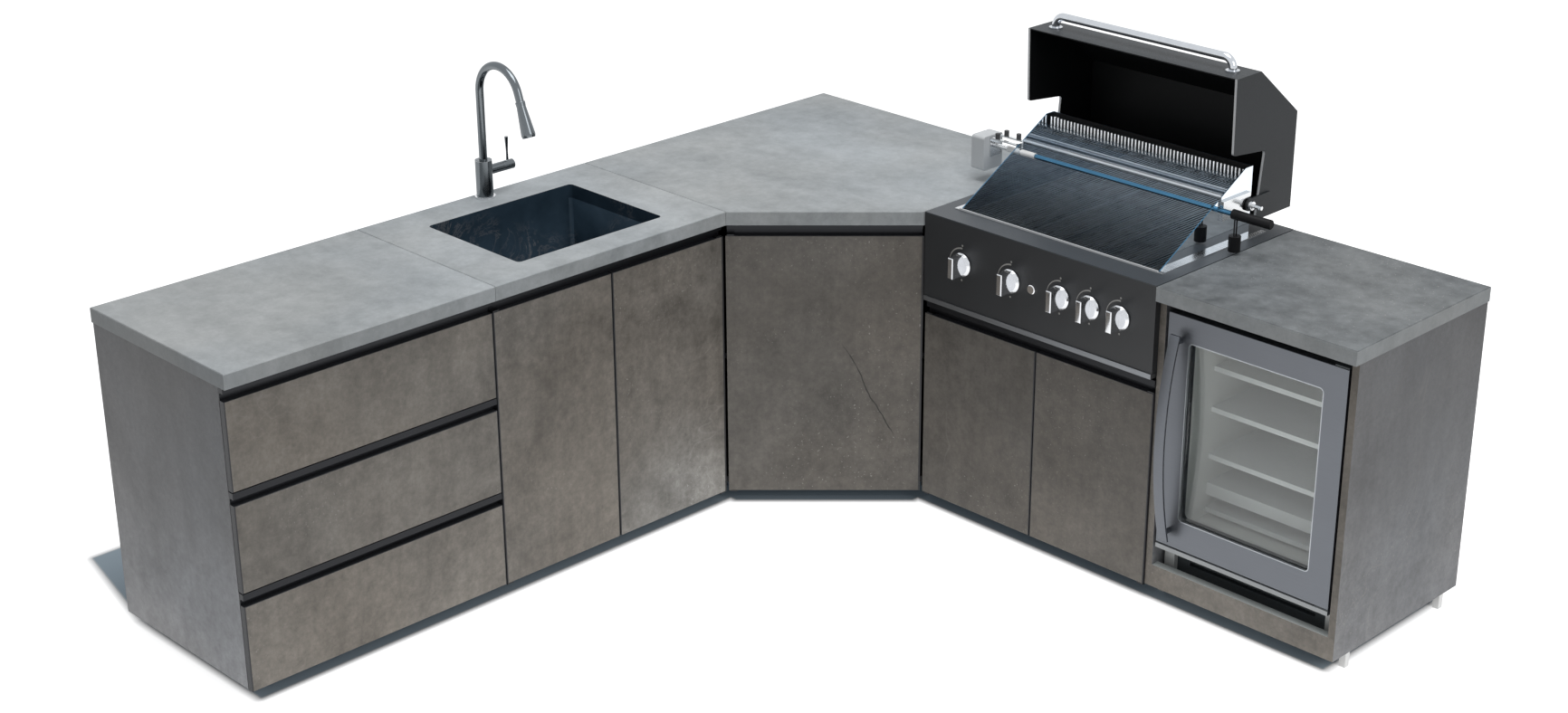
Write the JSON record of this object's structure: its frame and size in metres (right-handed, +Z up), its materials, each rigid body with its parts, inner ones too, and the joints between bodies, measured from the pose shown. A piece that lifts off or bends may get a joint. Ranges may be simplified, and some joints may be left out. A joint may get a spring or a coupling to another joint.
{
  "type": "modular outdoor kitchen",
  "caption": "L-shaped outdoor kitchen with stone-look fronts and worktops, drawers, sink with pull-down tap, corner cupboard, built-in gas grill with rotisserie, and a glass-door fridge.",
  "frame": {"origin": "centre of the whole kitchen's plan, on the floor", "axes": "+Z up, +X along the right wing away from the corner, +Y from the grill's front to its back; the left wing runs along -Y and faces +X"},
  "size_m": [2.385, 2.63, 1.405],
  "materials": {
    "worktop": "satin",
    "front_panel": "matte",
    "end_panel": "matte",
    "carcass_board": "matte",
    "foot_plastic": "matte",
    "rail_black": "anodised",
    "hardware": "satin",
    "drawer_steel": "matte",
    "sink_black": "satin",
    "waste_plastic": "matte",
    "tap_steel": "brushed",
    "anthracite": "satin",
    "bright_trim": "brushed",
    "mirror_steel": "polished",
    "firebox_steel": "satin",
    "grate_steel": "satin",
    "burner_steel": "satin",
    "rack_chrome": "polished",
    "chrome": "polished",
    "spit_steel": "satin",
    "bracket_steel": "brushed",
    "motor_silver": "satin",
    "grip_black": "matte",
    "fridge_steel": "brushed",
    "fridge_case": "satin",
    "fridge_shelf": "gloss",
    "fridge_glass": "gloss"
  },
  "bodies": {
    "kitchen": {"worktop_drawers": "worktop", "worktop_sink": "worktop", "worktop_corner": "worktop", "worktop_fridge": "worktop", "carcass_drawers": "carcass_board", "carcass_sink": "carcass_board", "carcass_corner": "carcass_board", "carcass_grill": "carcass_board", "end_panel_left": "end_panel", "fridge_side_panels": "end_panel", "fridge_base_panel": "front_panel", "levelling_feet": "foot_plastic", "finger_rails": "rail_black", "drawer_runners": "hardware", "door_pivots": "hardware", "sink_bowl": "sink_black", "sink_waste": "waste_plastic", "tap_body": "tap_steel", "grill_firebox": "firebox_steel", "grill_rim": "anthracite", "grill_upper_walls": "mirror_steel", "control_panel": "anthracite", "control_trim": "bright_trim", "cooking_grates": "grate_steel", "flame_tamers": "burner_steel", "gas_burners": "burner_steel", "warming_rack": "rack_chrome", "lid_hinge_shaft": "bracket_steel", "spit_brackets": "bracket_steel", "spit_motor": "motor_silver", "fridge_cabinet": "fridge_case", "fridge_shelves": "fridge_shelf"},
    "drawer_top": {"drawer_front_top": "front_panel", "drawer_box_top": "drawer_steel"},
    "drawer_middle": {"drawer_front_middle": "front_panel", "drawer_box_middle": "drawer_steel"},
    "drawer_bottom": {"drawer_front_bottom": "front_panel", "drawer_box_bottom": "drawer_steel"},
    "left_sink_door": {"sink_door_left": "front_panel"},
    "right_sink_door": {"sink_door_right": "front_panel"},
    "diagonal_door": {"corner_door": "front_panel"},
    "left_grill_door": {"grill_door_left": "front_panel"},
    "right_grill_door": {"grill_door_right": "front_panel"},
    "lid": {"grill_lid": "anthracite", "lid_handle": "chrome"},
    "igniter": {"igniter_button": "chrome"},
    "spit": {"spit_rod": "spit_steel", "spit_grip": "grip_black", "spit_counterweight": "grip_black"},
    "spout": {"tap_spout": "tap_steel"},
    "spray_head": {"tap_spray_head": "tap_steel"},
    "lever": {"tap_lever": "tap_steel"},
    "cold_door": {"fridge_door": "fridge_steel", "fridge_glass": "fridge_glass", "fridge_handle": "fridge_steel"},
    "burner_knob_1": {"knob_1": "chrome"},
    "burner_knob_2": {"knob_2": "chrome"},
    "burner_knob_3": {"knob_3": "chrome"},
    "burner_knob_4": {"knob_4": "chrome"},
    "burner_knob_5": {"knob_5": "chrome"}
  },
  "joints": [
    {"name": "drawer_top_slide", "type": "slide", "parent": "kitchen", "child": "drawer_top", "axis": [1, 0, 0], "range_m": [0, 0.45]},
    {"name": "drawer_middle_slide", "type": "slide", "parent": "kitchen", "child": "drawer_middle", "axis": [1, 0, 0], "range_m": [0, 0.45]},
    {"name": "drawer_bottom_slide", "type": "slide", "parent": "kitchen", "child": "drawer_bottom", "axis": [1, 0, 0], "range_m": [0, 0.45]},
    {"name": "left_sink_door_hinge", "type": "hinge", "parent": "kitchen", "child": "left_sink_door", "pos_m": [-0.6135, -0.5085, 0.4325], "axis": [0, 0, 1], "range_deg": [-100, 0]},
    {"name": "right_sink_door_hinge", "type": "hinge", "parent": "kitchen", "child": "right_sink_door", "pos_m": [-0.6135, 0.2785, 0.4325], "axis": [0, 0, 1], "range_deg": [0, 95]},
    {"name": "diagonal_door_hinge", "type": "hinge", "parent": "kitchen", "child": "diagonal_door", "pos_m": [-0.60284, 0.30435, 0.4325], "axis": [0, 0, 1], "range_deg": [-95, 0]},
    {"name": "left_grill_door_hinge", "type": "hinge", "parent": "kitchen", "child": "left_grill_door", "pos_m": [-0.201, 0.691, 0.319], "axis": [0, 0, 1], "range_deg": [-100, 0]},
    {"name": "right_grill_door_hinge", "type": "hinge", "parent": "kitchen", "child": "right_grill_door", "pos_m": [0.586, 0.691, 0.319], "axis": [0, 0, 1], "range_deg": [0, 100]},
    {"name": "fridge_door_hinge", "type": "hinge", "parent": "kitchen", "child": "cold_door", "pos_m": [1.1465, 0.707, 0.507], "axis": [0, 0, 1], "range_deg": [0, 110]},
    {"name": "lid_hinge", "type": "hinge", "parent": "kitchen", "child": "lid", "pos_m": [0.1925, 1.118, 0.996], "axis": [1, 0, 0], "range_deg": [0, 90]},
    {"name": "burner_knob_1_turn", "type": "hinge", "parent": "kitchen", "child": "burner_knob_1", "pos_m": [-0.0675, 0.673, 0.782], "axis": [0, -1, 0], "range_deg": [0, 180]},
    {"name": "burner_knob_2_turn", "type": "hinge", "parent": "kitchen", "child": "burner_knob_2", "pos_m": [0.1075, 0.673, 0.782], "axis": [0, -1, 0], "range_deg": [0, 180]},
    {"name": "burner_knob_3_turn", "type": "hinge", "parent": "kitchen", "child": "burner_knob_3", "pos_m": [0.2785, 0.673, 0.782], "axis": [0, -1, 0], "range_deg": [0, 180]},
    {"name": "burner_knob_4_turn", "type": "hinge", "parent": "kitchen", "child": "burner_knob_4", "pos_m": [0.3795, 0.673, 0.782], "axis": [0, -1, 0], "range_deg": [0, 180]},
    {"name": "burner_knob_5_turn", "type": "hinge", "parent": "kitchen", "child": "burner_knob_5", "pos_m": [0.4795, 0.673, 0.782], "axis": [0, -1, 0], "range_deg": [0, 180]},
    {"name": "igniter_press", "type": "slide", "parent": "kitchen", "child": "igniter", "axis": [0, 1, 0], "range_m": [0, 0.004], "stiffness_N_per_m": 900},
    {"name": "spit_turn", "type": "hinge", "parent": "kitchen", "child": "spit", "pos_m": [0.1925, 1.002, 1.008], "axis": [1, 0, 0], "continuous": true},
    {"name": "spout_swivel", "type": "hinge", "parent": "kitchen", "child": "spout", "pos_m": [-1.1545, -0.107, 1.01], "axis": [0, 0, 1], "range_deg": [-90, 90]},
    {"name": "lever_tilt", "type": "hinge", "parent": "kitchen", "child": "lever", "pos_m": [-1.1545, -0.041, 0.976], "axis": [0, 1, 0], "range_deg": [0, 70]},
    {"name": "spray_head_pull", "type": "slide", "parent": "spout", "child": "spray_head", "axis": [0.3256, 0, -0.9455], "range_m": [0, 0.12]}
  ]
}
